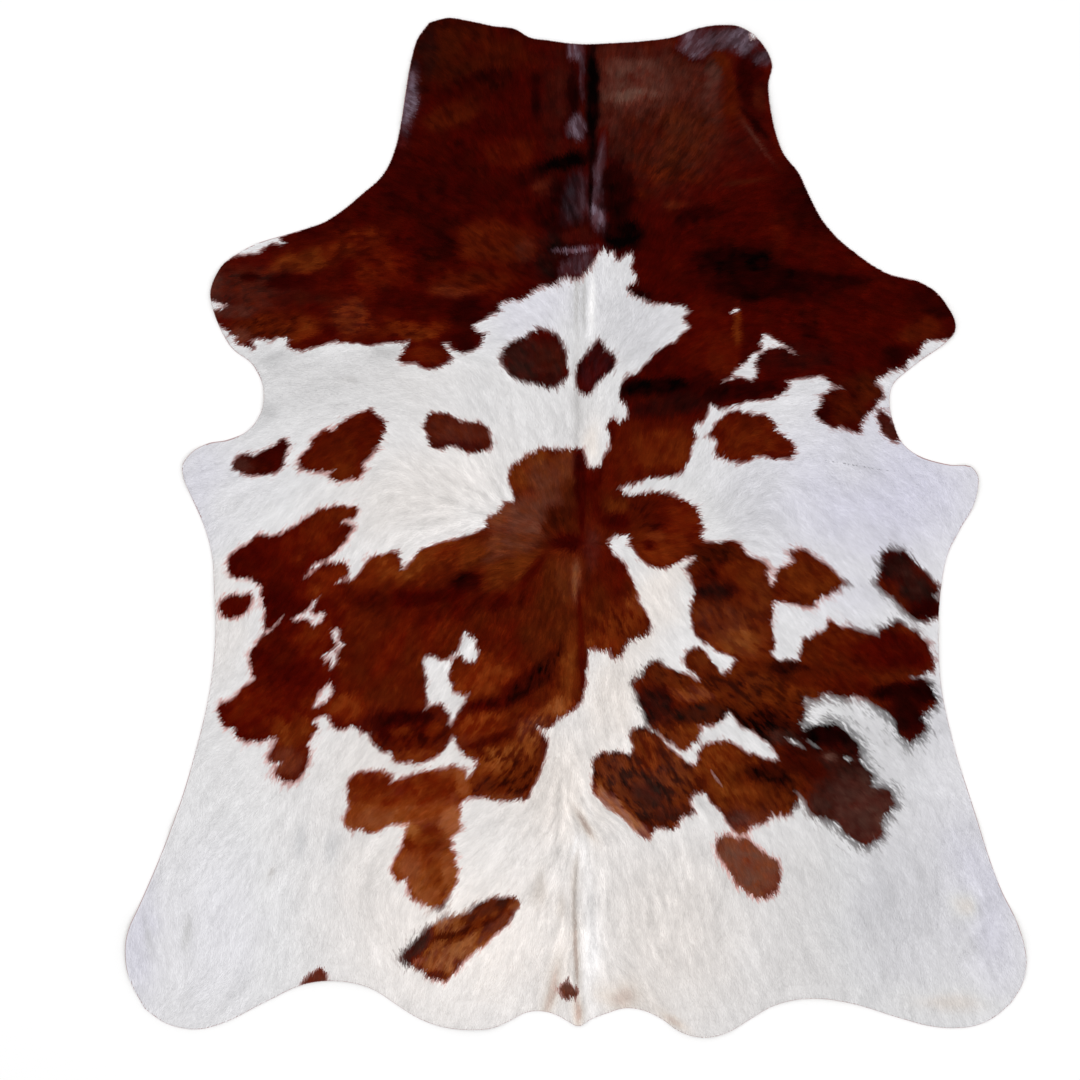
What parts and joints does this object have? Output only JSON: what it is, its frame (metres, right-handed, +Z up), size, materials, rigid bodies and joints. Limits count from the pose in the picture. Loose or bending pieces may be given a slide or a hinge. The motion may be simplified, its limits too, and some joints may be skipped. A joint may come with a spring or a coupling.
{
  "type": "cowhide rug",
  "caption": "Whole hair-on cowhide rug laid flat, in its natural outline of neck, foreleg, belly and hind leg lobes, with reddish brown patches on a white coat.",
  "frame": {"origin": "on the floor, under the middle of the hide's bounding box", "axes": "+X across the hide, +Y along the spine towards the neck, +Z up from the floor, with the hair side up"},
  "size_m": [1.9, 2.15, 0.0145],
  "materials": {
    "hair_on_hide": "short lying hair, softly shiny, reddish brown patches on white; pale suede underneath"
  },
  "bodies": {
    "root": {"cowhide": "hair_on_hide"}
  },
  "joints": []
}
